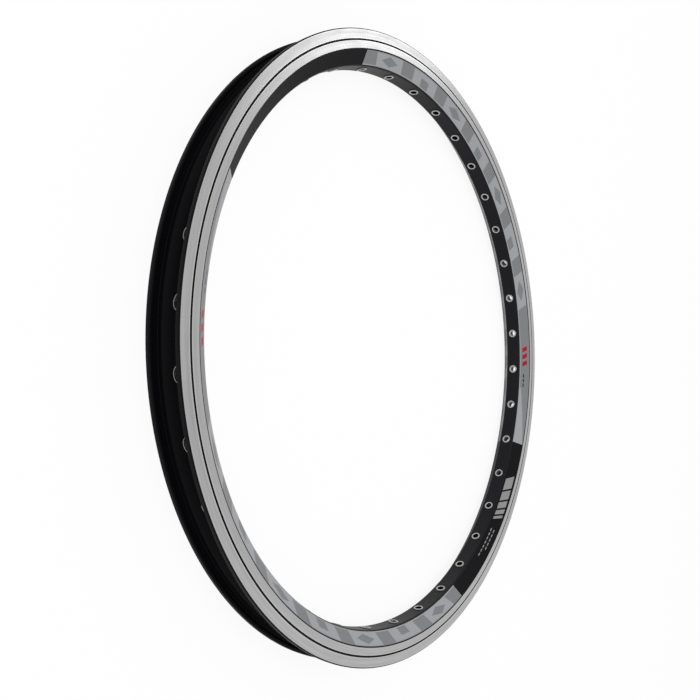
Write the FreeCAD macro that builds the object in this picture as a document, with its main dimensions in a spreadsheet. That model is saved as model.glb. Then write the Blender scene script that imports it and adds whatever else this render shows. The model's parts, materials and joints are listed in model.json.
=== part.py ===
"""Bicycle rim: a hollow double-wall hoop, the eyelets pressed into its spoke holes, and its side decals.

Millimetres. The rim lies on its side: its axis is +Z, its lower brake track is on Z = 0 and the valve
hole points along +X. Angles run anticlockwise from the valve hole, seen from above.
"""
import FreeCAD, Part
import os

import Sketcher

# Driving sizes: alias, value, what it measures
SIZES = [
    ("seat_radius", 203.0, "bead seat, half the nominal tyre seat diameter"),
    ("seat_width", 3.1, "width of each bead seat"),
    ("rim_width", 25.0, "width over the two brake tracks"),
    ("flange_height", 6.0, "height of the flange lips above the bead seat"),
    ("track_wall", 1.8, "thickness of the wall behind a brake track"),
    ("hook_reach", 1.2, "how far a flange hook stands in from that wall"),
    ("hook_height", 1.9, "height of a hook, from the lip down"),
    ("hook_undercut", 0.9, "height of the sloping face below a hook"),
    ("lip_chamfer", 0.7, "edge broken on each side of a flange lip"),
    ("well_depth", 3.8, "depth of the tyre well below the bead seat"),
    ("well_floor", 10.0, "width of the flat floor of the tyre well"),
    ("track_drop", 6.0, "depth of a brake track's inner edge below the bead seat"),
    ("groove_drop", 0.9, "depth of the wear groove's middle below the bead seat"),
    ("groove_width", 1.0, "width of the wear groove"),
    ("groove_depth", 0.4, "depth of the wear groove in the brake track"),
    ("bed_drop", 15.0, "depth of the spoke bed below the bead seat"),
    ("bed_width", 11.0, "width of the spoke bed between its corners"),
    ("bed_chamfer", 0.6, "edge broken on the corners of the spoke bed"),
    ("bed_wall", 1.8, "thickness of the spoke bed"),
    ("side_wall", 1.5, "thickness of the slanting side walls"),
    ("roof_wall", 1.5, "thickness of the wall under the tyre"),
    ("spoke_count", 36, "number of spoke holes"),
    ("access_hole_radius", 4.5, "hole in the tyre well behind each spoke hole"),
    ("valve_hole_radius", 4.25, "valve hole, through both walls"),
    ("nipple_hole_radius", 2.25, "bore of an eyelet"),
    ("eyelet_wall", 0.35, "thickness of an eyelet's barrel"),
    ("eyelet_lip_radius", 3.6, "outside of an eyelet's lip"),
    ("eyelet_lip_height", 0.7, "how far an eyelet's lip stands out of the bed"),
    ("eyelet_tail", 0.6, "how far an eyelet's barrel reaches past the bed"),
    ("eyelet_clearance", 0.05, "gap around an eyelet's barrel"),
    ("decal_span_deg", 133.0, "angle that each side decal covers"),
    ("decal_turn_deg", 91.0, "angle from the valve hole to the middle of the first decal"),
    ("decal_margin", 0.7, "bare strip beside the brake track, across the rim's face"),
    ("decal_inset", 0.75, "bare strip beside the corner of the bed, across the rim's face"),
    ("decal_film", 0.1, "thickness of the decal film"),
    ("decal_glue", 0.05, "gap for the glue under the film"),
]
SIDES = 2
DECALS_PER_SIDE = 2

# Radii of the section's levels, from the rim's axis
SEAT = "Sizes.seat_radius"
FLANGE = f"({SEAT} + Sizes.flange_height)"
WELL = f"({SEAT} - Sizes.well_depth)"
TRACK_FOOT = f"({SEAT} - Sizes.track_drop)"
GROOVE_INSIDE = f"({SEAT} - Sizes.groove_drop - Sizes.groove_width / 2)"
GROOVE_OUTSIDE = f"({SEAT} - Sizes.groove_drop + Sizes.groove_width / 2)"
BED = f"({SEAT} - Sizes.bed_drop)"

# Heights of the section's corners, from the rim's middle plane
HALF_WIDTH = "(Sizes.rim_width / 2)"
GROOVE_FLOOR = f"({HALF_WIDTH} - Sizes.groove_depth)"
INNER_FLANGE = f"({HALF_WIDTH} - Sizes.track_wall)"
HOOK = f"({INNER_FLANGE} - Sizes.hook_reach)"
SEAT_START = f"({INNER_FLANGE} - Sizes.seat_width)"
WELL_HALF = "(Sizes.well_floor / 2)"
BED_HALF = "(Sizes.bed_width / 2)"

# Slanting side wall: its rise for each millimetre of radius, and its length along the slant
SIDE_RISE = f"(({HALF_WIDTH} - {BED_HALF}) / ({TRACK_FOOT} - {BED}))"
SIDE_SLANT = f"sqrt(1 + {SIDE_RISE} * {SIDE_RISE})"

# Wall between the well's floor and the bead seat: its rise, and how far its thickness moves the underside
WELL_RISE = f"(({SEAT_START} - {WELL_HALF}) / ({SEAT} - {WELL}))"
WELL_SHIFT = f"(Sizes.roof_wall * sqrt(1 + {WELL_RISE} * {WELL_RISE}))"

# Hollow chamber between the two walls
CHAMBER_FLOOR = f"({BED} + Sizes.bed_wall)"
CHAMBER_ROOF = f"({WELL} - Sizes.roof_wall)"
CHAMBER_SHOULDER = f"({SEAT} - Sizes.roof_wall)"
CHAMBER_MIDDLE = f"(({CHAMBER_FLOOR} + {CHAMBER_ROOF}) / 2)"

# Eyelets: the first is half a pitch from the valve hole, and each lip bears on the hollow bed at two sides
FIRST_EYELET = "(180 deg / Sizes.spoke_count)"
BARREL_RADIUS = "(Sizes.nipple_hole_radius + Sizes.eyelet_wall)"
BARREL_END = f"({CHAMBER_FLOOR} + Sizes.eyelet_tail)"
LIP_SEAT = f"sqrt({BED} * {BED} - Sizes.eyelet_lip_radius * Sizes.eyelet_lip_radius)"

# Drills: they start inside the bed and end past the tyre well
DRILL_START = f"({BED} - Sizes.bed_wall)"
DRILL_END = FLANGE
BARREL_HOLE = f"({BARREL_RADIUS} + Sizes.eyelet_clearance)"


def side_height(radius):
    """Height of the outside of the slanting side wall at a radius."""
    return f"({BED_HALF} + {SIDE_RISE} * ({radius} - {BED}))"


def roof_height(radius):
    """Height of the underside of the wall that rises from the well to the bead seat, at a radius."""
    return f"({WELL_HALF} + {WELL_RISE} * ({radius} - {WELL}) + {WELL_SHIFT})"


def hoop_section():
    """Upper half of the hoop's section: the corners of a C around the hollow chamber."""
    chamber_side = f"(Sizes.side_wall * {SIDE_SLANT})"
    wall_meets_track = (
        f"({BED} + ({INNER_FLANGE} - {BED_HALF} + {chamber_side}) / {SIDE_RISE})"
    )
    bed_edge = f"({BED} + Sizes.bed_chamfer)"
    lip_edge = f"({FLANGE} - Sizes.lip_chamfer)"
    hook_foot = f"({FLANGE} - Sizes.hook_height)"
    return [
        (BED, "0"),
        (BED, f"{BED_HALF} - Sizes.bed_chamfer"),
        (bed_edge, side_height(bed_edge)),
        (TRACK_FOOT, HALF_WIDTH),
        (GROOVE_INSIDE, HALF_WIDTH),
        (GROOVE_INSIDE, GROOVE_FLOOR),
        (GROOVE_OUTSIDE, GROOVE_FLOOR),
        (GROOVE_OUTSIDE, HALF_WIDTH),
        (lip_edge, HALF_WIDTH),
        (FLANGE, f"{HALF_WIDTH} - Sizes.lip_chamfer"),
        (FLANGE, f"{HOOK} + Sizes.lip_chamfer"),
        (lip_edge, HOOK),
        (hook_foot, HOOK),
        (f"{hook_foot} - Sizes.hook_undercut", INNER_FLANGE),
        (SEAT, INNER_FLANGE),
        (SEAT, SEAT_START),
        (WELL, WELL_HALF),
        (WELL, "0"),
        (CHAMBER_ROOF, "0"),
        (CHAMBER_ROOF, roof_height(CHAMBER_ROOF)),
        (CHAMBER_SHOULDER, roof_height(CHAMBER_SHOULDER)),
        (CHAMBER_SHOULDER, INNER_FLANGE),
        (wall_meets_track, INNER_FLANGE),
        (CHAMBER_FLOOR, f"{side_height(CHAMBER_FLOOR)} - {chamber_side}"),
        (CHAMBER_FLOOR, "0"),
    ]


def eyelet_section():
    """Half of an eyelet's section: distance from the rim's axis, and distance from the eyelet's own axis."""
    return [
        (f"{LIP_SEAT} - Sizes.eyelet_lip_height", "Sizes.nipple_hole_radius"),
        (BARREL_END, "Sizes.nipple_hole_radius"),
        (BARREL_END, BARREL_RADIUS),
        (LIP_SEAT, BARREL_RADIUS),
        (LIP_SEAT, "Sizes.eyelet_lip_radius"),
    ]


def spoke_drill_section():
    """Half of a stepped drill's section: narrow through the spoke bed, wide through the tyre well."""
    return [
        (DRILL_START, "0"),
        (DRILL_START, BARREL_HOLE),
        (CHAMBER_MIDDLE, BARREL_HOLE),
        (CHAMBER_MIDDLE, "Sizes.access_hole_radius"),
        (DRILL_END, "Sizes.access_hole_radius"),
        (DRILL_END, "0"),
    ]


def valve_drill_section():
    """Half of a straight drill's section, through both walls."""
    return [
        (DRILL_START, "0"),
        (DRILL_START, "Sizes.valve_hole_radius"),
        (DRILL_END, "Sizes.valve_hole_radius"),
        (DRILL_END, "0"),
    ]


def decal_section():
    """Section of a decal: a thin strip on the slanting side wall."""
    inner = f"({BED} + Sizes.decal_inset)"
    outer = f"({TRACK_FOOT} - Sizes.decal_margin)"
    under = f"Sizes.decal_glue * {SIDE_SLANT}"
    over = f"(Sizes.decal_glue + Sizes.decal_film) * {SIDE_SLANT}"
    return [
        (inner, f"{side_height(inner)} + {under}"),
        (outer, f"{side_height(outer)} + {under}"),
        (outer, f"{side_height(outer)} + {over}"),
        (inner, f"{side_height(inner)} + {over}"),
    ]


def add_sizes(doc):
    """Put the driving sizes in a sheet, one named cell each."""
    sheet = doc.addObject("Spreadsheet::Sheet", "Sizes")
    for row, (alias, value, meaning) in enumerate(SIZES, start=1):
        sheet.set(f"A{row}", meaning)
        sheet.set(f"B{row}", str(value))
        sheet.setAlias(f"B{row}", alias)
    doc.recompute()


def new_body(doc, label, turned_over=False):
    """A body whose middle plane stands half the rim's width above Z = 0, turned over about X if asked."""
    body = doc.addObject("PartDesign::Body", label)
    body.Label = label
    if turned_over:
        over = FreeCAD.Rotation(FreeCAD.Vector(1, 0, 0), 180)
        body.Placement = FreeCAD.Placement(FreeCAD.Vector(), over)
    body.setExpression("Placement.Base.z", HALF_WIDTH)
    return body


def origin_feature(body, role):
    return next(item for item in body.Origin.OriginFeatures if item.Role == role)


def new_sketch(body, name, turn="0 deg"):
    """A sketch on a plane through the rim's axis, turned about that axis: x is radius, y is height."""
    sketch = body.newObject("Sketcher::SketchObject", name)
    sketch.AttachmentSupport = [(origin_feature(body, "XZ_Plane"), "")]
    sketch.MapMode = "FlatFace"
    upright = FreeCAD.Rotation(FreeCAD.Vector(0, 1, 0), 0)
    sketch.AttachmentOffset = FreeCAD.Placement(FreeCAD.Vector(), upright)
    sketch.setExpression("AttachmentOffset.Rotation.Angle", turn)
    return sketch


def worth(sketch, text):
    """The number that an expression has now."""
    result = sketch.evalExpression(text)
    return float(getattr(result, "Value", result))


def bind(sketch, kind, *where, text):
    """Add a constraint whose size follows an expression."""
    index = sketch.addConstraint(Sketcher.Constraint(kind, *where, worth(sketch, text)))
    sketch.setExpression(f"Constraints[{index}]", text)


def draw_outline(sketch, corners):
    """Draw a closed outline of straight lines, with each corner held to its two expressions."""
    places = [FreeCAD.Vector(worth(sketch, x), worth(sketch, y), 0) for x, y in corners]
    lines = [
        sketch.addGeometry(Part.LineSegment(start, end))
        for start, end in zip(places, places[1:] + places[:1])
    ]
    for index, (x, y) in enumerate(corners):
        before, after = lines[index - 1], lines[index]
        sketch.addConstraint(Sketcher.Constraint("Coincident", before, 2, after, 1))
        bind(sketch, "DistanceX", -1, 1, after, 1, text=x)
        if y == "0":
            sketch.addConstraint(Sketcher.Constraint("PointOnObject", after, 1, -1))
        else:
            bind(sketch, "DistanceY", -1, 1, after, 1, text=y)


def turn_profile(body, name, corners, axis, turn="0 deg"):
    """Turn an outline a full turn about one of its sketch's own axes."""
    sketch = new_sketch(body, f"{name}Section", turn)
    draw_outline(sketch, corners)
    feature = body.newObject("PartDesign::Revolution", name)
    feature.Profile = sketch
    feature.ReferenceAxis = (sketch, [axis])
    body.Document.recompute()
    return feature


def repeat_around(body, name, feature):
    """Repeat a feature at every spoke hole."""
    pattern = body.newObject("PartDesign::PolarPattern", name)
    pattern.Originals = [feature]
    pattern.Axis = (origin_feature(body, "Z_Axis"), [""])
    pattern.Angle = 360
    pattern.setExpression("Occurrences", "Sizes.spoke_count")
    body.Tip = pattern
    body.Document.recompute()


def make_drills(doc):
    """The drills that open the hoop's holes: a stepped one for every spoke, and one for the valve."""
    body = doc.addObject("PartDesign::Body", "HoleDrills")
    body.AllowCompound = True
    drill = turn_profile(body, "SpokeDrill", spoke_drill_section(), "H_Axis", FIRST_EYELET)
    repeat_around(body, "SpokeDrills", drill)
    turn_profile(body, "ValveDrill", valve_drill_section(), "H_Axis")
    return body


def make_hoop(doc):
    """The hoop: one extruded section rolled into a ring, with its holes, drawn as a half and mirrored."""
    body = new_body(doc, "rim_hoop")
    turn_profile(body, "UpperHalf", hoop_section(), "V_Axis")
    holes = body.newObject("PartDesign::Boolean", "Holes")
    holes.Type = "Cut"
    holes.setObjects([make_drills(doc)])
    doc.recompute()
    whole = body.newObject("PartDesign::Mirrored", "BothHalves")
    whole.TransformMode = "Whole shape"
    whole.MirrorPlane = (origin_feature(body, "XY_Plane"), [""])
    body.Tip = whole
    return body


def make_eyelets(doc):
    """The eyelets: a turned ring with a conical lip and a short barrel, one in each spoke hole."""
    body = new_body(doc, "spoke_eyelets")
    body.AllowCompound = True
    ring = turn_profile(body, "Eyelet", eyelet_section(), "H_Axis", FIRST_EYELET)
    repeat_around(body, "EyeletPattern", ring)
    return body


def make_decal(doc, number):
    """A side decal: a strip of film at equal steps around the rim, on the upper side wall first.

    The lower side's strips are the same ones turned over, so their angles are turned back.
    """
    side, place = divmod(number, DECALS_PER_SIDE)
    lower = side == 1
    sense = -1 if lower else 1
    turn = f"({sense} * (Sizes.decal_turn_deg * 1 deg + {place} * 360 deg / {DECALS_PER_SIDE}))"
    body = new_body(doc, f"side_decal_{number + 1}", turned_over=lower)
    strip = turn_profile(body, f"DecalStrip{number + 1}", decal_section(), "V_Axis", turn)
    strip.Midplane = True
    strip.setExpression("Angle", "Sizes.decal_span_deg")
    return body


def check(doc, bodies):
    """Stop if any feature failed or any sub-part has no valid solid."""
    for item in doc.Objects:
        if "Invalid" in item.State or "Error" in item.State:
            raise RuntimeError(f"{item.Label} failed: {item.State}")
    for body in bodies:
        if body.Shape.isNull() or not body.Shape.isValid() or not body.Shape.Solids:
            raise RuntimeError(f"{body.Label} has no valid solid")


def main():
    doc = FreeCAD.newDocument("BicycleRim")
    add_sizes(doc)
    bodies = [make_hoop(doc), make_eyelets(doc)]
    bodies += [make_decal(doc, number) for number in range(SIDES * DECALS_PER_SIDE)]
    doc.recompute()
    check(doc, bodies)
    os.makedirs("parts", exist_ok=True)
    for body in bodies:
        body.Shape.exportStep(f"parts/{body.Label}.step")
        print(body.Label, len(body.Shape.Solids), "solids", round(body.Shape.Volume, 1), "mm3")


main()
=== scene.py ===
"""Looks of a bare bicycle rim: black hoop, bright brake tracks, eyelets and printed side decals.

Lengths are in metres. Z is the rim's axis, and the rim lies on its lower brake track at Z = 0.
Heights in a section are measured from the rim's middle plane, and the finished pieces are lifted at the end
so that they lie on Z = 0.
"""

import json
from math import atan2, ceil, cos, hypot, radians, sin, sqrt, tau

import bmesh
import bpy
from bpy.props import FloatProperty, FloatVectorProperty, IntProperty, PointerProperty
from mathutils import Matrix, Vector


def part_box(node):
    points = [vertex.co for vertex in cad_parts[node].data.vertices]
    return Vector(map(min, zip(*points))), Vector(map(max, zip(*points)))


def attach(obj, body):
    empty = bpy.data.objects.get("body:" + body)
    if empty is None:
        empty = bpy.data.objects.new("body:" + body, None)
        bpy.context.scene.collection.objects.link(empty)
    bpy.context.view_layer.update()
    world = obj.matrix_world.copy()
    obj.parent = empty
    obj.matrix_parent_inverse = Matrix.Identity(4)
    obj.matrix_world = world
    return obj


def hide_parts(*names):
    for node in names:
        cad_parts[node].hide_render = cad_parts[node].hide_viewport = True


bl_info = {
    "name": "Bicycle Rim",
    "version": (1, 0, 0),
    "blender": (4, 5, 0),
    "location": "3D View > Sidebar > Rim",
    "description": "Builds the finished looks of a double-wall bicycle rim",
    "category": "Add Mesh",
}

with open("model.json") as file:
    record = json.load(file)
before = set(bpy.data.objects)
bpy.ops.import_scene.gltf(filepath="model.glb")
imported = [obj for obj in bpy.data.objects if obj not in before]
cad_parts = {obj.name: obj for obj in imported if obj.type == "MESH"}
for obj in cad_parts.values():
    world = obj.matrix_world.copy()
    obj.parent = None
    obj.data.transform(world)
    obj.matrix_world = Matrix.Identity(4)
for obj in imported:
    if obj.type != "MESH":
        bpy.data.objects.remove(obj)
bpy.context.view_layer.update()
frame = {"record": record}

MM = 0.001
HOOP_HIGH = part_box("rim_hoop")[1]
MOUNTS = {mount["name"]: mount["dims"] for mount in frame["record"]["mounts"]}

# Steps of the meshes. The hoop is divided so that every sector of half a spoke pitch has whole steps.
SECTOR_STEPS = 5
WALL_ROWS = 11
SHEET_CUTS = 2
EYELET_STEPS = 40
STRIP_STEP = radians(1.0)
PRINT_STEPS = (3, 4)

# Tolerances, directions and white.
MERGE_DISTANCE = 0.004 * MM
SURFACE_TOLERANCE = 0.01 * MM
SHARP_ANGLE = radians(32)
AXIS = (0.0, 0.0, 1.0)
ORIGIN = (0.0, 0.0, 0.0)
WHITE = (1.0, 1.0, 1.0, 1.0)

# Roundings of the hoop's corners, and the steps of a rounding below the fine one and of a larger one.
FINE_ROUNDING = 0.25 * MM
HOOP_ROUND_STEPS = (2, 4)
EYELET_ROUND_STEPS = (3, 3)
TRACK_FOOT_ROUNDING = 0.05 * MM
GROOVE_EDGE_ROUNDING = 0.12 * MM
GROOVE_FLOOR_ROUNDING = 0.15 * MM
HOOK_ROUNDING = 0.3 * MM
SEAT_CORNER_ROUNDING = 0.5 * MM
SEAT_EDGE_ROUNDING = 0.8 * MM

# How far the drilled walls stop short of the corners beside them.
BED_MARGIN = 0.1 * MM
WELL_MARGIN = 0.15 * MM

# An eyelet's lip: width of its crown, height of its outer edge and the rounding above that edge.
LIP_CROWN = 0.75 * MM
LIP_EDGE = 0.25 * MM
LIP_EDGE_ROUNDING = 0.2 * MM

# Material places on the hoop, and the UV maps that materials use.
ANODISED, MACHINED, BARE, DULL_SHADED = range(4)
BARREL_MAP = "Barrel"
FILM_MAP = "Film"

DECALS_PER_SIDE = 2

# Print in the gap: the bare wall beside it, then its bars and its rows of dashes.
# Angles are in degrees, and heights are shares of the printed wall.
PRINT_INSET = 0.9 * MM
PRINT_MARGIN = 0.7 * MM
BAR_WIDTHS = (3.4, 2.6, 1.9, 1.3, 0.8)
BAR_SPACE = 0.55
BAR_SLANT = 2.2
BAR_HEIGHTS = (0.12, 0.88)
DASH_WIDTH = 0.9
DASH_PITCH = 1.35
DASH_ROWS = ((7, 0.30, 0.38), (5, 0.58, 0.66))

# Studio: how far the floor shines by itself, the strength of the world's light, and the soft boxes,
# each with its name, place, aim, side and power in watts.
FLOOR_GLOW = 0.90
WORLD_LIGHT = 0.75
LAMPS = (
    ("key", (-0.015, -1.38, 0.84), (0.188, -0.076, 0.022), 0.35, 0.95),
    ("low", (-1.26, -0.32, 0.84), (-0.10, 0.17, 0.02), 0.8, 0.25),
    ("overhead", (0.5, 0.2, 2.0), (0.0, 0.0, 0.0), 1.8, 16.0),
)

# Camera: lens and sensor in millimetres, shift as a share of the picture, and the picture's right and up.
CAMERA_LENS = 35.286
CAMERA_SENSOR = 36.0
CAMERA_SHIFT = (0.00263, -0.00077)
CAMERA_RIGHT = Vector((-0.3921553, -0.4572082, 0.7982323))
CAMERA_UP = Vector((0.7775068, -0.6284900, 0.0219894))


def length(name, millimetres, description):
    """A size in metres, given here in millimetres."""
    return FloatProperty(
        name=name,
        description=description,
        default=millimetres * MM,
        min=0.0,
        precision=5,
        subtype="DISTANCE",
        unit="LENGTH",
    )


def turn(name, degrees, description):
    """An angle round the rim's axis, given here in degrees."""
    return FloatProperty(
        name=name,
        description=description,
        default=radians(degrees),
        subtype="ANGLE",
        unit="ROTATION",
    )


def colour(name, rgb, description):
    """A scene linear colour."""
    return FloatVectorProperty(
        name=name,
        description=description,
        default=(*rgb, 1.0),
        size=4,
        min=0.0,
        max=1.0,
        subtype="COLOR",
    )


class HoopSizes(bpy.types.PropertyGroup):
    """Sizes of the hoop's section and holes; edges are round here where the solid's are chamfered."""

    flange_radius: length("Flange radius", HOOP_HIGH.x / MM, "Outside of the rim")
    rim_width: length("Rim width", HOOP_HIGH.z / MM, "Over both brake tracks")
    seat_radius: length("Bead seat radius", MOUNTS["tyre_bead_seat"]["r_mm"], "Where the tyre bead sits")
    seat_width: length("Bead seat width", 3.1, "Flat of each bead seat")
    track_wall: length("Track wall", 1.8, "Thickness behind a brake track")
    hook_reach: length("Hook reach", 1.2, "How far a hook stands in from its wall")
    hook_height: length("Hook height", 1.9, "Hook's foot below the flange")
    hook_undercut: length("Hook undercut", 0.9, "Slope under a hook")
    lip_rounding: length("Lip rounding", 0.7, "Round edges of a flange")
    well_depth: length("Well depth", 3.8, "Tyre well below the bead seats")
    well_floor: length("Well floor", 10.0, "Width of the tyre well's floor")
    track_drop: length("Track drop", 6.0, "Foot of a brake track below the bead seat")
    groove_drop: length("Groove drop", 0.9, "Middle of the wear groove below the bead seat")
    groove_width: length("Groove width", 1.0, "Width of the wear groove")
    groove_depth: length("Groove depth", 0.4, "Depth of the wear groove")
    bed_drop: length("Bed drop", 15.0, "Spoke bed below the bead seat")
    bed_width: length("Bed width", 11.0, "Width of the spoke bed, corner to corner")
    bed_rounding: length("Bed rounding", 0.8, "Round corners of the spoke bed")
    bed_wall: length("Bed wall", 1.8, "Thickness of the spoke bed")
    side_wall: length("Side wall", 1.5, "Thickness of the slanting side walls")
    roof_wall: length("Roof wall", 1.5, "Thickness of the wall under the tyre well")
    spoke_count: IntProperty(name="Spokes", description="Number of spoke holes", default=36, min=12)
    eyelet_hole: length("Eyelet hole radius", 2.65, "Hole in the bed for an eyelet")
    access_hole: length("Access hole radius", 4.5, "Hole in the tyre well that lets a nipple in")
    valve_hole: length("Valve hole radius", MOUNTS["valve_hole"]["r_mm"], "Hole through both walls")
    edge_break: length("Edge break", 0.18, "Deburred edge of the access and valve holes")


class EyeletSizes(bpy.types.PropertyGroup):
    """Sizes of one spoke eyelet."""

    bore_radius: length("Bore radius", MOUNTS["spoke_hole"]["r_mm"], "Hole that a nipple passes")
    wall: length("Wall", 0.35, "Thickness of the barrel")
    lip_radius: length("Lip radius", 3.6, "Outside of the rolled lip")
    lip_height: length("Lip height", 0.7, "How far the lip stands off the bed")
    lip_rounding: length("Lip rounding", 0.34, "Round crown of the lip")
    tail: length("Tail", 0.6, "Barrel beyond the bed wall")


class DecalSizes(bpy.types.PropertyGroup):
    """Sizes of the film strips and of the print in the gap between them."""

    span: turn("Span", 133.0, "Angle that one strip covers")
    first_middle: turn("First middle", 91.0, "Where the middle of the first strip is")
    margin: length("Margin", 0.7, "Bare wall between a strip and the brake track")
    inset: length("Inset", 0.75, "Bare wall between a strip and the spoke bed")
    film: length("Film", 0.1, "Thickness of the film")
    glue: length("Glue", 0.05, "Thickness of the glue under it")
    print_film: length("Print film", 0.05, "Thickness of the print in the gap")
    bars_start: turn("Bars start", 193.5, "Where the slanting bars in the gap begin")
    dashes_start: turn("Dashes start", 179.0, "Where the dashes in the gap begin")


class RimColours(bpy.types.PropertyGroup):
    """Colours of the finishes."""

    anodising: colour("Anodising", (0.0060, 0.0058, 0.0075), "Satin black of the hoop")
    machined: colour("Machined", (0.365, 0.365, 0.365), "Bare brake tracks")
    drilled: colour("Drilled", (0.32, 0.32, 0.32), "Bare metal in the drilled holes")
    plating: colour("Plating", (0.46, 0.46, 0.456), "Bright eyelets")
    # Painted shade deep in the eyelets' barrels, and a darker foot at the outer edge of their lips.
    dark_plating: colour("Dark plating", (0.06, 0.06, 0.06), "Eyelets' barrels and the foot of their lips")
    film_dark: colour("Film dark", (0.208, 0.211, 0.220), "Ground of the decals")
    film_light: colour("Film light", (0.333, 0.338, 0.351), "Shapes on the decals")
    gap_grey: colour("Gap grey", (0.27, 0.27, 0.27), "Print in the gap between the decals")
    film_red: colour("Film red", (0.34, 0.016, 0.028), "Accent on the decals")
    film_black: colour("Film black", (0.012, 0.012, 0.013), "Dashes on the decals")
    floor: colour("Floor", (0.90, 0.90, 0.90), "Pale studio floor")


class StageSizes(bpy.types.PropertyGroup):
    """Place of the camera, and size and place of the floor."""

    camera_x: length("Camera X", 252.239, "Place of the camera")
    camera_y: length("Camera Y", 324.036, "Place of the camera")
    camera_z: length("Camera Z", 272.651, "Place of the camera")
    floor_side: length("Floor side", 12000.0, "Side of the square floor")
    floor_gap: length("Floor gap", 0.1, "Floor below the lower brake track")


class Socket:
    """An output socket of a node; arithmetic on it adds Math nodes."""

    def __init__(self, nodes, output):
        self.nodes = nodes
        self.output = output

    def other(self, name):
        """Another output of the same node."""
        return Socket(self.nodes, self.output.node.outputs[name])

    def math(self, operation, *values):
        """A Math node on some values."""
        return self.nodes.add("ShaderNodeMath", {"operation": operation}, dict(enumerate(values)))

    def larger(self, value):
        """The larger of this and another value."""
        return self.math("MAXIMUM", self, value)

    def __add__(self, value):
        return self.math("ADD", self, value)

    def __radd__(self, value):
        return self.math("ADD", value, self)

    def __sub__(self, value):
        return self.math("SUBTRACT", self, value)

    def __rsub__(self, value):
        return self.math("SUBTRACT", value, self)

    def __mul__(self, value):
        return self.math("MULTIPLY", self, value)

    def __rmul__(self, value):
        return self.math("MULTIPLY", value, self)

    def __truediv__(self, value):
        return self.math("DIVIDE", self, value)

    def __rtruediv__(self, value):
        return self.math("DIVIDE", value, self)

    def __pow__(self, value):
        return self.math("POWER", self, value)

    def __mod__(self, value):
        return self.math("FLOORED_MODULO", self, value)

    def __lt__(self, value):
        return self.math("LESS_THAN", self, value)

    def __gt__(self, value):
        return self.math("GREATER_THAN", self, value)

    def __abs__(self):
        return self.math("ABSOLUTE", self)


class Nodes:
    """The nodes of a material or a world, and the one way to add to them."""

    def __init__(self, block):
        block.use_nodes = True
        self.block = block
        self.tree = block.node_tree
        self.tree.nodes.clear()

    def add(self, kind, settings=None, sockets=None, output=0):
        """Add a node, make its settings, then set or link its sockets."""
        node = self.tree.nodes.new(kind)
        for name, value in (settings or {}).items():
            setattr(node, name, value)
        for key, value in (sockets or {}).items():
            if isinstance(value, Socket):
                self.tree.links.new(value.output, node.inputs[key])
            else:
                node.inputs[key].default_value = value
        return Socket(self, node.outputs[output]) if node.outputs else None

    def point(self):
        """The point, in the rim's frame."""
        return self.add("ShaderNodeTexCoord", output="Object")

    def parts(self, vector):
        """X, Y and Z of a vector."""
        x = self.add("ShaderNodeSeparateXYZ", sockets={"Vector": vector})
        return x, x.other("Y"), x.other("Z")

    def ring_place(self):
        """Radius, angle round the axis and height of the point."""
        x, y, z = self.parts(self.point())
        return (x * x + y * y) ** 0.5, y.math("ARCTAN2", y, x), z

    def map_place(self, name):
        """Both places of the point on a UV map."""
        u, v, _ = self.parts(self.add("ShaderNodeUVMap", {"uv_map": name}))
        return u, v

    def vector(self, x, y, z):
        """A vector of three values."""
        return self.add("ShaderNodeCombineXYZ", sockets={"X": x, "Y": y, "Z": z})

    def noise(self, vector, scale, detail=2.0):
        """Noise from 0 to 1 over a vector."""
        sockets = {"Vector": vector, "Scale": scale, "Detail": detail}
        return self.add("ShaderNodeTexNoise", sockets=sockets)

    def streaks(self, place, across, around, detail=2.0):
        """Noise over a place on the ring, by its density across the section and round the axis."""
        radius, angle, height = place
        return self.noise(self.vector(radius * across, height * across, angle * around), 1.0, detail)

    def fade(self, value, start, end):
        """A share that grows from 0 to 1 while a value goes from start to end."""
        return self.add("ShaderNodeMapRange", sockets={"Value": value, "From Min": start, "From Max": end})

    def mix(self, share, first, second):
        """A colour between two colours."""
        sockets = {0: share, 6: first, 7: second}
        return self.add("ShaderNodeMix", {"data_type": "RGBA"}, sockets, output=2)

    def bump(self, height, distance, strength):
        """A normal that follows a height."""
        sockets = {"Height": height, "Distance": distance, "Strength": strength}
        return self.add("ShaderNodeBump", sockets=sockets)

    def seen(self):
        """1 for a ray that the camera sees, also in or through a surface, and 0 for other light."""
        path = self.add("ShaderNodeLightPath", output="Is Camera Ray")
        return path.larger(path.other("Is Glossy Ray")).larger(path.other("Is Transmission Ray"))

    def finish(self, sockets):
        """Close the material with one Principled shader."""
        shader = self.add("ShaderNodeBsdfPrincipled", sockets=sockets)
        self.add("ShaderNodeOutputMaterial", sockets={"Surface": shader})
        return self.block


def new_nodes(name):
    """The nodes of a new material."""
    return Nodes(bpy.data.materials.new(name))


def shaded(rgba, share):
    """A colour made darker or lighter."""
    return [share * part for part in rgba[:3]] + [1.0]


def black_anodising(colours):
    """Satin black with the fine lines of the extrusion running round the hoop."""
    nodes = new_nodes("black_anodising")
    place = nodes.ring_place()
    lines = nodes.streaks(place, across=5200.0, around=5.0)
    cloud = nodes.streaks(place, across=60.0, around=9.0, detail=4.0)
    return nodes.finish(
        {
            "Base Color": nodes.mix(cloud, colours.anodising, shaded(colours.anodising, 1.5)),
            "Roughness": 0.34 + 0.10 * lines + 0.08 * cloud,
            "Normal": nodes.bump(lines, distance=0.006 * MM, strength=0.6),
            "Specular IOR Level": 0.12,
        }
    )


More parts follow.
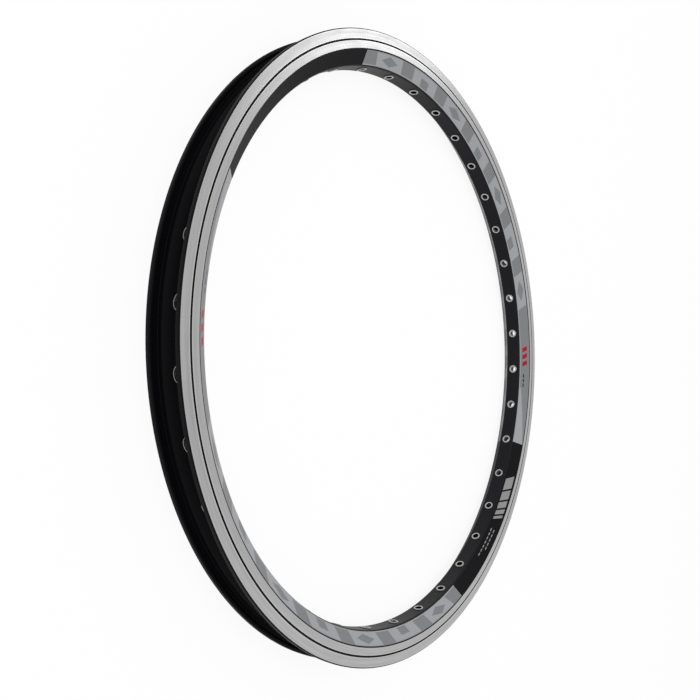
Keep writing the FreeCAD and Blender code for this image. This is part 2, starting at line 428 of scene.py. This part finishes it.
def dull_shaded_black(colours):
    """Unpolished black of the lips, the wear groove, the tyre channel and the side walls: a duller finish
    with less sheen, and darker than the anodising as painted shade.
    """
    nodes = new_nodes("dull_shaded_black")
    lines = nodes.streaks(nodes.ring_place(), across=3600.0, around=7.0, detail=3.0)
    return nodes.finish(
        {
            # Painted shade: the colour runs from the anodising down to a third of it.
            "Base Color": nodes.mix(lines, shaded(colours.anodising, 0.3), colours.anodising),
            "Roughness": 0.42 + 0.14 * lines,
            "Normal": nodes.bump(lines, distance=0.010 * MM, strength=0.6),
            "Specular IOR Level": 0.06,
        }
    )


def machined_track(colours, section):
    """Bare aluminium with the lathe's fine rings, and painted highlights beside the wear groove and at the
    flange.
    """
    nodes = new_nodes("machined_track")
    radius, angle, height = nodes.ring_place()
    flat = (radius, angle, 0.0)
    rings = nodes.streaks(flat, across=1500.0, around=2.5)
    bands = nodes.streaks(flat, across=600.0, around=1.5)
    patches = nodes.streaks(flat, across=240.0, around=14.0, detail=3.0)
    grain = nodes.streaks((radius, angle, height), across=2400.0, around=420.0)
    tone = 0.40 * rings + 0.40 * bands + 0.15 * patches + 0.05 * grain
    shade = nodes.mix(tone, shaded(colours.machined, 1.5), shaded(colours.machined, 0.5))

    # Painted highlights: the track's colour is lighter in bands beside the wear groove and along the
    # flange's edge.
    full_highlight, no_highlight = 0.1 * MM, 0.7 * MM
    flange_highlight = 0.5 * MM
    edge = section.sizes.groove_width / 2
    beside = nodes.fade(abs(radius - section.groove), edge + no_highlight, edge + full_highlight)
    outside = nodes.fade(radius, section.lip_start - flange_highlight, section.lip_start)
    return nodes.finish(
        {
            "Base Color": nodes.mix(0.85 * beside + 0.35 * outside, shade, shaded(colours.machined, 1.6)),
            "Metallic": 1.0,
            "Roughness": 0.16 + 0.14 * rings + 0.08 * patches,
            "Normal": nodes.bump(rings, distance=0.004 * MM, strength=0.5),
        }
    )


def drilled_metal(colours):
    """Dull cut metal in the drilled holes and on their broken edges."""
    nodes = new_nodes("drilled_metal")
    marks = nodes.noise(nodes.point(), scale=2500.0, detail=3.0)
    return nodes.finish(
        {
            "Base Color": colours.drilled,
            "Metallic": 1.0,
            "Roughness": 0.32 + 0.2 * marks,
            "Normal": nodes.bump(marks, distance=0.01 * MM, strength=0.5),
        }
    )


def bright_plating(colours):
    """Plated eyelets, bright with faint clouds and press marks, with painted shade deep in the barrel and
    darker at the foot of the lip.
    """
    nodes = new_nodes("bright_plating")
    point = nodes.point()
    clouds = nodes.noise(point, scale=420.0, detail=3.0)
    marks = nodes.noise(point, scale=2200.0)
    shade = nodes.mix(clouds, colours.plating, shaded(colours.plating, 0.78))
    outwards, inwards = nodes.map_place(BARREL_MAP)
    # Painted shade: the barrel darkens with depth. The lip also darkens at its outer foot, next to the bed.
    barrel = nodes.fade(inwards, start=0.14, end=0.32)
    foot = nodes.fade(outwards, start=0.89, end=0.97)
    return nodes.finish(
        {
            "Base Color": nodes.mix(barrel.larger(foot), shade, colours.dark_plating),
            "Metallic": 1.0,
            "Roughness": 0.20 + 0.14 * clouds,
            "Normal": nodes.bump(marks, distance=0.006 * MM, strength=0.5),
        }
    )


def printed_film(colours, film_length, film_height):
    """Two-tone grey film: slanting blocks with lozenge and notch windows, a wedge, an accent and dashes.

    Places on the film are in millimetres, along it from its start and across it from its middle.
    """
    nodes = new_nodes("printed_film")
    u, v = nodes.map_place(FILM_MAP)
    whole, tall = film_length / MM, film_height / MM
    along = u * whole
    across = (v - 0.5) * tall
    slant = 0.45
    slanted = along + slant * across

    pitch, block_length, first_block, block_count = 46.0, 31.0, 14.0, 7
    lozenge_slope, lozenge_half = 0.34, 3.3
    notch_half, notch_top = 5.0, 1.2
    field_half = 0.455 * tall
    past = slanted - first_block
    step = past % pitch
    middle = abs(step - block_length / 2)
    lozenge = (middle * lozenge_slope + abs(across)) < lozenge_half
    notch = (middle < notch_half) * (across < notch_top)
    second = (past % (2 * pitch)) > pitch
    cut = lozenge * (1.0 - second) + notch * second
    field = (past > 0.0) * (past < block_count * pitch) * (abs(across) < field_half)
    shapes = field * (step < block_length) * (1.0 - cut)

    wedge_start, wedge_length, wedge_height = 0.885 * whole, 0.09 * whole, 6.0
    wedge_edge = ((along - wedge_start) / wedge_length - 0.5) * wedge_height
    wedge = (along > wedge_start) * (across < wedge_edge)
    # A lighter band along the film's inner edge.
    border_share = 0.07
    light = shapes + wedge + (v < border_share)

    accent_start, accent_pitch, accent_count = 0.80 * whole, 6.5, 3
    accent_width, accent_half = 4.0, 2.4
    accent_step = (slanted - accent_start) % accent_pitch
    accent = (slanted > accent_start) * (slanted < accent_start + accent_count * accent_pitch)
    accent = accent * (accent_step < accent_width) * (abs(across) < accent_half)

    dash_start, dash_end, dash_pitch = accent_start + 24.0, accent_start + 37.0, 4.2
    dash_width, dash_half, dash_drop = 3.0, 0.55, 0.9
    dash_step = (along - accent_start) % dash_pitch
    dashes = (along > dash_start) * (along < dash_end) * (dash_step < dash_width)
    dashes = dashes * (abs(across + dash_drop) < dash_half)

    grain = nodes.noise(nodes.vector(along, across, 0.0), scale=0.9, detail=3.0)
    dark = nodes.mix(grain, shaded(colours.film_dark, 0.94), shaded(colours.film_dark, 1.06))
    shade = nodes.mix(light, dark, colours.film_light)
    shade = nodes.mix(accent, shade, colours.film_red)
    return nodes.finish(
        {
            "Base Color": nodes.mix(dashes, shade, colours.film_black),
            "Roughness": 0.30 + 0.08 * grain,
            "Normal": nodes.bump(grain, distance=0.01 * MM, strength=0.3),
            "Specular IOR Level": 0.03,
        }
    )


def printed_grey(colours):
    """Light grey print on the black wall."""
    nodes = new_nodes("printed_grey")
    grain = nodes.noise(nodes.point(), scale=1500.0, detail=3.0)
    shade = nodes.mix(grain, shaded(colours.gap_grey, 0.92), colours.gap_grey)
    return nodes.finish({"Base Color": shade, "Roughness": 0.36 + 0.1 * grain, "Specular IOR Level": 0.05})


class Section:
    """Radii and heights of the hoop's section; heights are from the middle plane."""

    def __init__(self, sizes):
        self.sizes = sizes
        self.seat = sizes.seat_radius
        self.flange = sizes.flange_radius
        self.half_width = sizes.rim_width / 2
        self.well = self.seat - sizes.well_depth
        self.groove = self.seat - sizes.groove_drop
        self.track_foot = self.seat - sizes.track_drop
        self.bed = self.seat - sizes.bed_drop
        self.bed_half = sizes.bed_width / 2
        self.well_half = sizes.well_floor / 2
        self.inner_flange = self.half_width - sizes.track_wall
        self.seat_start = self.inner_flange - sizes.seat_width
        self.side_rise = (self.half_width - self.bed_half) / (self.track_foot - self.bed)
        self.side_slant = hypot(1.0, self.side_rise)
        self.chamber_floor = self.bed + sizes.bed_wall
        self.chamber_roof = self.well - sizes.roof_wall
        self.lip_start = self.flange - sizes.lip_rounding
        self.pitch = tau / sizes.spoke_count

    def side_height(self, radius):
        """Height of the slanting side wall's outside."""
        return self.bed_half + (radius - self.bed) * self.side_rise

    def roof_height(self, radius):
        """Height of the slope under the tyre well, on the chamber's side."""
        rise = (self.seat_start - self.well_half) / (self.seat - self.well)
        return self.well_half + (radius - self.well) * rise + self.sizes.roof_wall * hypot(1.0, rise)

    def finish_at(self, radius, height):
        """Which of the hoop's materials a face has, from the place of its middle."""
        if height > self.half_width - SURFACE_TOLERANCE:
            return MACHINED
        # The tyre channel, the lips, the wear groove and the side walls take the dull black with its
        # painted shade.
        if radius > self.track_foot or height > self.side_height(radius) - SURFACE_TOLERANCE:
            return DULL_SHADED
        return ANODISED

    def film_edges(self, sizes):
        """Inner and outer radius of the decals."""
        return self.bed + sizes.inset, self.track_foot - sizes.margin

    def outside(self, bed_edge, well_edge):
        """Corners of the upper half's outside, from the spoke bed round to the tyre well."""
        sizes = self.sizes
        groove_floor = self.half_width - sizes.groove_depth
        groove_inner = self.groove - sizes.groove_width / 2
        groove_outer = self.groove + sizes.groove_width / 2
        hook = self.inner_flange - sizes.hook_reach
        hook_foot = self.flange - sizes.hook_height
        return [
            (self.bed, bed_edge, 0.0),
            (self.bed, self.bed_half, sizes.bed_rounding),
            (self.track_foot, self.half_width, TRACK_FOOT_ROUNDING),
            (groove_inner, self.half_width, GROOVE_EDGE_ROUNDING),
            (groove_inner, groove_floor, GROOVE_FLOOR_ROUNDING),
            (groove_outer, groove_floor, GROOVE_FLOOR_ROUNDING),
            (groove_outer, self.half_width, GROOVE_EDGE_ROUNDING),
            (self.flange, self.half_width, sizes.lip_rounding),
            (self.flange, hook, sizes.lip_rounding),
            (hook_foot, hook, HOOK_ROUNDING),
            (hook_foot - sizes.hook_undercut, self.inner_flange, HOOK_ROUNDING),
            (self.seat, self.inner_flange, SEAT_CORNER_ROUNDING),
            (self.seat, self.seat_start, SEAT_EDGE_ROUNDING),
            (self.well, self.well_half, 0.0),
            (self.well, well_edge, 0.0),
        ]

    def chamber(self, floor_edge, roof_edge):
        """Corners of the upper half of the hollow chamber, from its floor to its roof."""
        sizes = self.sizes
        side = sizes.side_wall * self.side_slant
        corner = self.bed + (self.inner_flange + side - self.bed_half) / self.side_rise
        top = self.seat - sizes.roof_wall
        return [
            (self.chamber_floor, floor_edge, 0.0),
            (self.chamber_floor, self.side_height(self.chamber_floor) - side, 0.0),
            (corner, self.inner_flange, 0.0),
            (top, self.inner_flange, 0.0),
            (top, self.roof_height(top), 0.0),
            (self.chamber_roof, self.roof_height(self.chamber_roof), 0.0),
            (self.chamber_roof, roof_edge, 0.0),
        ]


def rounded_face(bm, corners, roundings, fine_steps, large_steps):
    """A face through corners, each with its own rounding; returns its first and last, which stay sharp."""
    points = [bm.verts.new(corner) for corner in corners]
    bm.faces.new(points)
    for rounding in sorted(set(roundings) - {0.0}):
        bmesh.ops.bevel(
            bm,
            geom=[point for point, own in zip(points, roundings) if own == rounding],
            offset=rounding,
            offset_type="OFFSET",
            segments=fine_steps if rounding < FINE_ROUNDING else large_steps,
            profile=0.5,
            affect="VERTICES",
            material=-1,
        )
    return points[0], points[-1]


def rounded_line(bm, corners):
    """An open line through corners of radius, height and rounding, in the plane of X and Z."""
    places = [(radius, 0.0, height) for radius, height, _ in corners]
    roundings = [rounding for _, _, rounding in corners]
    first, last = rounded_face(bm, places, roundings, *HOOP_ROUND_STEPS)
    bmesh.ops.delete(bm, geom=first.link_faces[:], context="FACES_ONLY")
    bmesh.ops.delete(bm, geom=[bm.edges.get((first, last))], context="EDGES")


def edges_between(bm, points):
    """The edges that have both ends among some points."""
    points = set(points)
    return [edge for edge in bm.edges if edge.verts[0] in points and edge.verts[1] in points]


def ring_at(bm, radius, hole, steps):
    """A ring of edges on a flat sheet at a radius; returns its edges."""
    ring = bmesh.ops.create_circle(
        bm, segments=steps, radius=hole, matrix=Matrix.Translation((0.0, 0.0, radius))
    )
    return edges_between(bm, ring["verts"])


def wall_sector(inner, outer, half_angle, half_height, hole=0.0, inner_break=0.0, outer_break=0.0):
    """Both faces of one sector of a wall, with a drilled hole and its broken edges where it has one.

    It is made flat, with the radius as its Z, and bent round the rim's axis at the end.
    """
    bm = bmesh.new()
    rims, rungs = [], []
    for radius, edge_break in ((inner, inner_break), (outer, outer_break)):
        grid = bmesh.ops.create_grid(bm, x_segments=SECTOR_STEPS, y_segments=WALL_ROWS, size=1.0)["verts"]
        bmesh.ops.scale(bm, verts=grid, vec=(radius * sin(half_angle), half_height, 1.0))
        bmesh.ops.translate(bm, verts=grid, vec=(0.0, 0.0, radius))
        if hole:
            faces = list({face for point in grid for face in point.link_faces})
            bmesh.ops.delete(bm, geom=faces, context="FACES_KEEP_BOUNDARY")
            border = edges_between(bm, [point for point in grid if point.is_valid])
            rims.append(ring_at(bm, radius, hole + edge_break, len(border)))
            rungs += bmesh.ops.bridge_loops(bm, edges=border + rims[-1])["edges"]
    if hole:
        steps = len(rims[0])
        loops = [rims[0]]
        if inner_break:
            loops.append(ring_at(bm, inner + inner_break, hole, steps))
        if outer_break:
            loops.append(ring_at(bm, outer - outer_break, hole, steps))
        loops.append(rims[1])
        for first, second in zip(loops, loops[1:]):
            for face in bmesh.ops.bridge_loops(bm, edges=first + second)["faces"]:
                face.material_index = BARE
        bmesh.ops.subdivide_edges(bm, edges=rungs, cuts=SHEET_CUTS)
    for point in bm.verts:
        along, height, radius = point.co
        point.co = (sqrt(radius * radius - along * along), along, height)
    return bm


def repeat_round(part, first, step, count):
    """Turn a part to its first place and repeat it round the axis."""
    bmesh.ops.rotate(part, verts=part.verts, cent=ORIGIN, matrix=Matrix.Rotation(first, 3, "Z"))
    if count > 1:
        bmesh.ops.spin(
            part,
            geom=part.verts[:] + part.edges[:] + part.faces[:],
            cent=ORIGIN,
            axis=AXIS,
            angle=step * (count - 1),
            steps=count - 1,
            use_duplicate=True,
        )


def add_part(bm, part):
    """Add a part's mesh to another."""
    carrier = bpy.data.meshes.new("carrier")
    part.to_mesh(carrier)
    part.free()
    bm.from_mesh(carrier)
    bpy.data.meshes.remove(carrier)


def close_piece(bm, name, materials, lift):
    """Merge, turn the faces outwards, shade, lift to its place and make the object."""
    bmesh.ops.remove_doubles(bm, verts=bm.verts, dist=MERGE_DISTANCE)
    bmesh.ops.recalc_face_normals(bm, faces=bm.faces)
    bmesh.ops.translate(bm, verts=bm.verts, vec=(0.0, 0.0, lift))
    loose = sum(not edge.is_manifold for edge in bm.edges)
    if loose:
        raise RuntimeError(f"{name} has {loose} open edges")
    for face in bm.faces:
        face.smooth = True
    for edge in bm.edges:
        edge.smooth = edge.calc_face_angle() < SHARP_ANGLE
    mesh = bpy.data.meshes.new(name)
    bm.to_mesh(mesh)
    bm.free()
    for material in materials:
        mesh.materials.append(material)
    piece = bpy.data.objects.new(name, mesh)
    bpy.context.scene.collection.objects.link(piece)
    weighted = piece.modifiers.new("Flat faces stay flat", "WEIGHTED_NORMAL")
    weighted.keep_sharp = True
    return piece


class RIM_OT_hoop(bpy.types.Operator):
    """Add the hoop: an extruded section turned round the axis, with its drilled walls"""

    bl_idname = "rim.hoop"
    bl_label = "Hoop"

    def execute(self, context):
        sizes = context.scene.rim_hoop
        colours = context.scene.rim_colours
        section = Section(sizes)
        half_angle = section.pitch / 4
        bed_edge = section.bed_half - sizes.bed_rounding - BED_MARGIN
        well_edge = section.well_half - WELL_MARGIN

        bm = bmesh.new()
        rounded_line(bm, section.outside(bed_edge, well_edge))
        rounded_line(bm, section.chamber(bed_edge, well_edge))
        bmesh.ops.rotate(bm, verts=bm.verts, cent=ORIGIN, matrix=Matrix.Rotation(half_angle, 3, "Z"))
        bmesh.ops.mirror(bm, geom=bm.verts[:] + bm.edges[:], axis="Z", merge_dist=0.0)
        bmesh.ops.spin(
            bm,
            geom=bm.verts[:] + bm.edges[:],
            cent=ORIGIN,
            axis=AXIS,
            angle=tau,
            steps=2 * sizes.spoke_count * SECTOR_STEPS,
            use_merge=True,
        )

        inner_wall = (section.bed, section.chamber_floor, half_angle, bed_edge)
        outer_wall = (section.chamber_roof, section.well, half_angle, well_edge)
        spokes, between = sizes.spoke_count, sizes.spoke_count - 1
        deburr = sizes.edge_break
        for part, first, count in (
            (wall_sector(*inner_wall, sizes.eyelet_hole), section.pitch / 2, spokes),
            (wall_sector(*outer_wall, sizes.access_hole, 0.0, deburr), section.pitch / 2, spokes),
            (wall_sector(*inner_wall, sizes.valve_hole, deburr, 0.0), 0.0, 1),
            (wall_sector(*outer_wall, sizes.valve_hole, 0.0, deburr), 0.0, 1),
            (wall_sector(*inner_wall), section.pitch, between),
            (wall_sector(*outer_wall), section.pitch, between),
        ):
            repeat_round(part, first, section.pitch, count)
            add_part(bm, part)

        for face in bm.faces:
            if face.material_index == ANODISED:
                centre = face.calc_center_median()
                face.material_index = section.finish_at(centre.xy.length, abs(centre.z))
        materials = [
            black_anodising(colours),
            machined_track(colours, section),
            drilled_metal(colours),
            dull_shaded_black(colours),
        ]
        hoop = close_piece(bm, "hoop", materials, section.half_width)
        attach(hoop, "root")
        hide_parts("rim_hoop")
        return {"FINISHED"}


class RIM_OT_eyelets(bpy.types.Operator):
    """Add the spoke eyelets: a rolled lip on a short barrel, repeated round the spoke bed"""

    bl_idname = "rim.eyelets"
    bl_label = "Eyelets"

    def execute(self, context):
        hoop = context.scene.rim_hoop
        sizes = context.scene.rim_eyelets
        section = Section(hoop)
        bore = sizes.bore_radius
        barrel = bore + sizes.wall
        seat = sqrt(section.bed ** 2 - sizes.lip_radius ** 2)
        crown = seat - sizes.lip_height
        end = section.chamber_floor + sizes.tail
        corners = [
            (end, bore, 0.0),
            (crown, bore, sizes.lip_rounding),
            (crown, bore + LIP_CROWN, sizes.lip_rounding),
            (seat - LIP_EDGE, sizes.lip_radius, LIP_EDGE_ROUNDING),
            (seat, sizes.lip_radius, 0.0),
            (seat, barrel, 0.0),
            (end, barrel, 0.0),
        ]
        places = [(place, radius, 0.0) for place, radius, _ in corners]
        roundings = [rounding for _, _, rounding in corners]
        part = bmesh.new()
        rounded_face(part, places, roundings, *EYELET_ROUND_STEPS)
        bmesh.ops.delete(part, geom=part.faces[:], context="FACES_ONLY")
        bmesh.ops.spin(
            part,
            geom=part.verts[:] + part.edges[:],
            cent=ORIGIN,
            axis=(1.0, 0.0, 0.0),
            angle=tau,
            steps=EYELET_STEPS,
            use_merge=True,
        )
        layer = part.loops.layers.uv.new(BARREL_MAP)
        for face in part.faces:
            for loop in face.loops:
                x, y, z = loop.vert.co
                loop[layer].uv = (hypot(y, z) / sizes.lip_radius, (x - crown) / (end - crown))
        repeat_round(part, section.pitch / 2, section.pitch, hoop.spoke_count)
        material = bright_plating(context.scene.rim_colours)
        eyelets = close_piece(part, "eyelets", [material], section.half_width)
        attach(eyelets, "root")
        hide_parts("spoke_eyelets")
        return {"FINISHED"}


class RIM_OT_decals(bpy.types.Operator):
    """Add the film strips on the slanting side walls, the upper side's first"""

    bl_idname = "rim.decals"
    bl_label = "Decals"

    def execute(self, context):
        section = Section(context.scene.rim_hoop)
        sizes = context.scene.rim_decals
        inner, outer = section.film_edges(sizes)
        film_height = (outer - inner) * section.side_slant
        film_length = (inner + outer) / 2 * sizes.span
        material = printed_film(context.scene.rim_colours, film_length, film_height)
        for number in range(1, 2 * DECALS_PER_SIDE + 1):
            strip = self.strip(section, sizes, number)
            strip = close_piece(strip, f"decal_{number}", [material], section.half_width)
            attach(strip, "root")
            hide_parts(f"side_decal_{number}")
        return {"FINISHED"}

    def strip(self, section, sizes, number):
        """One strip, turned to its place, with its print's length and height as a UV map."""
        side, place = divmod(number - 1, DECALS_PER_SIDE)
        inner, outer = section.film_edges(sizes)
        glue = sizes.glue * section.side_slant
        film = glue + sizes.film * section.side_slant
        bm = bmesh.new()
        profile = [
            bm.verts.new((radius, 0.0, section.side_height(radius) + raised))
            for radius, raised in ((inner, glue), (outer, glue), (outer, film), (inner, film))
        ]
        bmesh.ops.spin(
            bm,
            geom=[bm.faces.new(profile)],
            cent=ORIGIN,
            axis=AXIS,
            angle=sizes.span,
            steps=ceil(sizes.span / STRIP_STEP),
        )
        layer = bm.loops.layers.uv.new(FILM_MAP)
        for face in bm.faces:
            for loop in face.loops:
                x, y, z = loop.vert.co
                share = (hypot(x, y) - inner) / (outer - inner)
                turned = atan2(y, x) / sizes.span
                loop[layer].uv = (turned if side else 1.0 - turned, share)
        first = sizes.first_middle + place * tau / DECALS_PER_SIDE - sizes.span / 2
        bmesh.ops.rotate(bm, verts=bm.verts, cent=ORIGIN, matrix=Matrix.Rotation(first, 3, "Z"))
        if side:
            bmesh.ops.scale(bm, verts=bm.verts, vec=(1.0, 1.0, -1.0))
        return bm


def wall_print(bm, section, sizes, start, width, low, high, slant):
    """A thin slanting patch of print on the side wall; width and slant are angles, low and high shares."""
    known = set(bm.verts)
    bmesh.ops.create_grid(bm, x_segments=PRINT_STEPS[0], y_segments=PRINT_STEPS[1], size=0.5)
    base = section.bed + PRINT_INSET
    reach = section.track_foot - PRINT_MARGIN - base
    for point in set(bm.verts) - known:
        share = low + (point.co.y + 0.5) * (high - low)
        angle = start - (point.co.x + 0.5) * width + slant * share
        radius = base + share * reach
        raised = sizes.glue * section.side_slant
        point.co = (radius * cos(angle), radius * sin(angle), section.side_height(radius) + raised)
    faces = list({face for point in set(bm.verts) - known for face in point.link_faces})
    made = bmesh.ops.extrude_face_region(bm, geom=faces, use_keep_orig=True)["geom"]
    top = [item for item in made if isinstance(item, bmesh.types.BMVert)]
    bmesh.ops.translate(bm, verts=top, vec=(0.0, 0.0, sizes.print_film))


class RIM_OT_gap_print(bpy.types.Operator):
    """Add the slanting bars and the rows of dashes in one gap between the decals"""

    bl_idname = "rim.gap_print"
    bl_label = "Gap print"

    def execute(self, context):
        section = Section(context.scene.rim_hoop)
        sizes = context.scene.rim_decals
        material = printed_grey(context.scene.rim_colours)
        bm = bmesh.new()
        start = sizes.bars_start
        for width in BAR_WIDTHS:
            wall_print(bm, section, sizes, start, radians(width), *BAR_HEIGHTS, radians(BAR_SLANT))
            start -= radians(width + BAR_SPACE)
        for count, low, high in DASH_ROWS:
            start = sizes.dashes_start
            for _ in range(count):
                wall_print(bm, section, sizes, start, radians(DASH_WIDTH), low, high, 0.0)
                start -= radians(DASH_PITCH)
        piece = close_piece(bm, "gap_print", [material], section.half_width)
        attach(piece, "root")
        return {"FINISHED"}


def soft_lamp(name, place, aim, side, power):
    """A square soft box aimed at a point."""
    lamp = bpy.data.lights.new(name, "AREA")
    lamp.size = side
    lamp.energy = power
    holder = bpy.data.objects.new(name, lamp)
    holder.location = place
    holder.rotation_euler = (Vector(aim) - Vector(place)).to_track_quat("-Z", "Y").to_euler()
    bpy.context.scene.collection.objects.link(holder)


class RIM_OT_stage(bpy.types.Operator):
    """Add the floor, the studio light and the camera"""

    bl_idname = "rim.stage"
    bl_label = "Stage"

    def execute(self, context):
        scene = context.scene
        stage = scene.rim_stage
        scene.view_settings.view_transform = "Standard"
        self.add_floor(scene, stage)
        self.add_world(scene)
        for lamp in LAMPS:
            soft_lamp(*lamp)
        self.add_camera(scene, stage)
        return {"FINISHED"}

    def add_floor(self, scene, stage):
        """A pale floor that looks white and is clear from below."""
        bm = bmesh.new()
        bmesh.ops.create_grid(bm, x_segments=1, y_segments=1, size=stage.floor_side / 2)
        bmesh.ops.translate(bm, verts=bm.verts, vec=(0.0, 0.0, -stage.floor_gap))
        mesh = bpy.data.meshes.new("floor")
        bm.to_mesh(mesh)
        bm.free()
        nodes = new_nodes("studio_floor")
        pale = nodes.add("ShaderNodeBsdfDiffuse", sockets={"Color": scene.rim_colours.floor})
        white = nodes.add("ShaderNodeEmission", sockets={"Color": WHITE, "Strength": 1.0})
        above = nodes.add("ShaderNodeMixShader", sockets={0: FLOOR_GLOW * nodes.seen(), 1: pale, 2: white})
        under = nodes.add("ShaderNodeNewGeometry", output="Backfacing")
        clear = nodes.add("ShaderNodeBsdfTransparent")
        shader = nodes.add("ShaderNodeMixShader", sockets={0: under, 1: above, 2: clear})
        nodes.add("ShaderNodeOutputMaterial", sockets={"Surface": shader})
        mesh.materials.append(nodes.block)
        floor = bpy.data.objects.new("floor", mesh)
        scene.collection.objects.link(floor)

    def add_world(self, scene):
        """Even light from all round, which looks white."""
        scene.world = bpy.data.worlds.new("studio")
        nodes = Nodes(scene.world)
        light = nodes.add("ShaderNodeBackground", sockets={"Color": WHITE, "Strength": WORLD_LIGHT})
        white = nodes.add("ShaderNodeBackground", sockets={"Color": WHITE, "Strength": 1.0})
        shader = nodes.add("ShaderNodeMixShader", sockets={0: nodes.seen(), 1: light, 2: white})
        nodes.add("ShaderNodeOutputWorld", sockets={"Surface": shader})

    def add_camera(self, scene, stage):
        """The camera, rolled so that the rim stands in the picture."""
        data = bpy.data.cameras.new("camera")
        data.lens = CAMERA_LENS
        data.sensor_width = CAMERA_SENSOR
        data.shift_x, data.shift_y = CAMERA_SHIFT
        camera = bpy.data.objects.new("camera", data)
        back = CAMERA_RIGHT.cross(CAMERA_UP)
        turned = Matrix((CAMERA_RIGHT, CAMERA_UP, back)).transposed().to_4x4()
        place = Matrix.Translation((stage.camera_x, stage.camera_y, stage.camera_z))
        camera.matrix_world = place @ turned
        scene.collection.objects.link(camera)
        scene.camera = camera


class RIM_PT_panel(bpy.types.Panel):
    """Lists the rim's pieces and the stage in the sidebar"""

    bl_idname = "RIM_PT_panel"
    bl_label = "Bicycle Rim"
    bl_space_type = "VIEW_3D"
    bl_region_type = "UI"
    bl_category = "Rim"

    def draw(self, context):
        for operator in OPERATORS:
            self.layout.operator(operator.bl_idname)


OPERATORS = (RIM_OT_hoop, RIM_OT_eyelets, RIM_OT_decals, RIM_OT_gap_print, RIM_OT_stage)
GROUPS = {
    "rim_hoop": HoopSizes,
    "rim_eyelets": EyeletSizes,
    "rim_decals": DecalSizes,
    "rim_colours": RimColours,
    "rim_stage": StageSizes,
}


def register():
    for group in GROUPS.values():
        bpy.utils.register_class(group)
    for name, group in GROUPS.items():
        setattr(bpy.types.Scene, name, PointerProperty(type=group))
    for operator in OPERATORS:
        bpy.utils.register_class(operator)
    bpy.utils.register_class(RIM_PT_panel)


def unregister():
    bpy.utils.unregister_class(RIM_PT_panel)
    for operator in reversed(OPERATORS):
        bpy.utils.unregister_class(operator)
    for name in GROUPS:
        delattr(bpy.types.Scene, name)
    for group in reversed(GROUPS.values()):
        bpy.utils.unregister_class(group)


def main():
    register()
    bpy.ops.rim.hoop()
    bpy.ops.rim.eyelets()
    bpy.ops.rim.decals()
    bpy.ops.rim.gap_print()
    bpy.ops.rim.stage()


if __name__ == "__main__":
    main()
